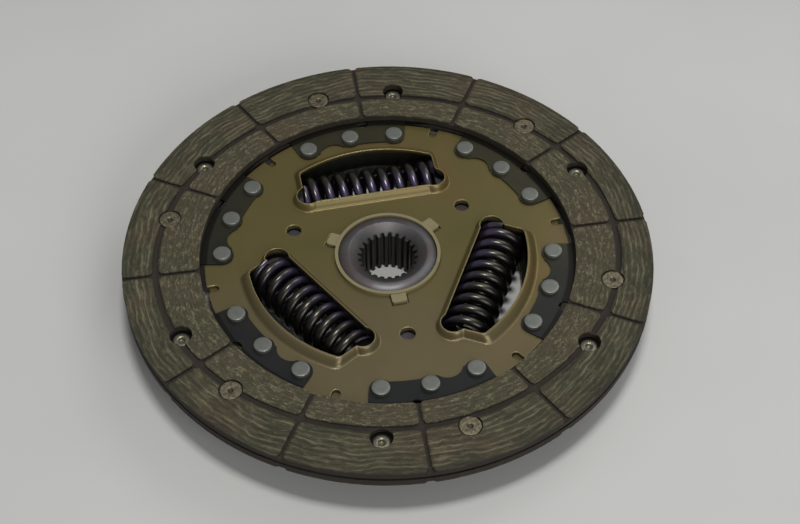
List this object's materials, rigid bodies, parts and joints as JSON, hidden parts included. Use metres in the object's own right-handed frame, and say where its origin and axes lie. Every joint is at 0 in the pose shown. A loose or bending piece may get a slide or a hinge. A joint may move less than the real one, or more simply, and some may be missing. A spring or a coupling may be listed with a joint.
{
  "type": "clutch disc",
  "caption": "Dry clutch disc: grooved friction facings riveted to waved cushion plates round a lipped damper plate with coil springs and a splined hub.",
  "frame": {"origin": "on the hub's axis at its rear end, on which the disc stands", "axes": "+Z along the hub's axis towards the front, the side with the rivet heads and the raised window lips; +X and +Y lie in the disc's plane, with the first spring window centred 101.3 degrees from +X towards +Y"},
  "size_m": [0.225, 0.225, 0.0263],
  "materials": {
    "friction_lining": "moulded friction lining, brown grey, streaked with fine brass flecks",
    "gold_plate": "yellow zinc chromate over pressed steel, satin",
    "rivet_steel": "zinc plated rivet steel, satin",
    "brass_rivet": "hollow rivet brass, dulled",
    "cream_plastic": "cream moulded plastic",
    "washer_compound": "dark friction compound",
    "bare_steel": "bare ground steel",
    "spring_steel": "hardened spring steel",
    "forged_steel": "machined forging, phosphated grey",
    "cushion_steel": "blued spring steel, dark blue grey",
    "coil_steel": "black oiled spring wire"
  },
  "bodies": {
    "hub": {"hub": "forged_steel"},
    "springs": {"damper_spring_1": "coil_steel", "damper_spring_2": "coil_steel", "damper_spring_3": "coil_steel"},
    "disc": {"front_facing": "friction_lining", "rear_facing": "friction_lining", "cushion_plate_1": "cushion_steel", "cushion_plate_2": "cushion_steel", "cushion_plate_3": "cushion_steel", "cushion_plate_4": "cushion_steel", "cushion_plate_5": "cushion_steel", "cushion_plate_6": "cushion_steel", "front_plate": "gold_plate", "rear_plate": "gold_plate", "plate_rivets": "rivet_steel", "front_facing_rivets": "brass_rivet", "rear_facing_rivets": "brass_rivet", "front_bush": "cream_plastic", "rear_bush": "cream_plastic", "friction_washer": "washer_compound", "thrust_ring": "bare_steel", "cup_spring": "spring_steel"}
  },
  "joints": [
    {"name": "damper_twist", "type": "hinge", "parent": "hub", "child": "disc", "pos_m": [0, 0, 0.0157], "axis": [0, 0, 1], "range_deg": [-10, 10], "stiffness_Nm_per_rad": 150, "deforming": ["damper_spring_1", "damper_spring_2", "damper_spring_3"]},
    {"name": "spring_shift", "type": "hinge", "parent": "hub", "child": "springs", "pos_m": [0, 0, 0.0157], "axis": [0, 0, 1], "range_deg": [-5, 5]}
  ],
  "couplings": [
    {"joint": "spring_shift", "follows": "damper_twist", "ratio": 0.5}
  ]
}
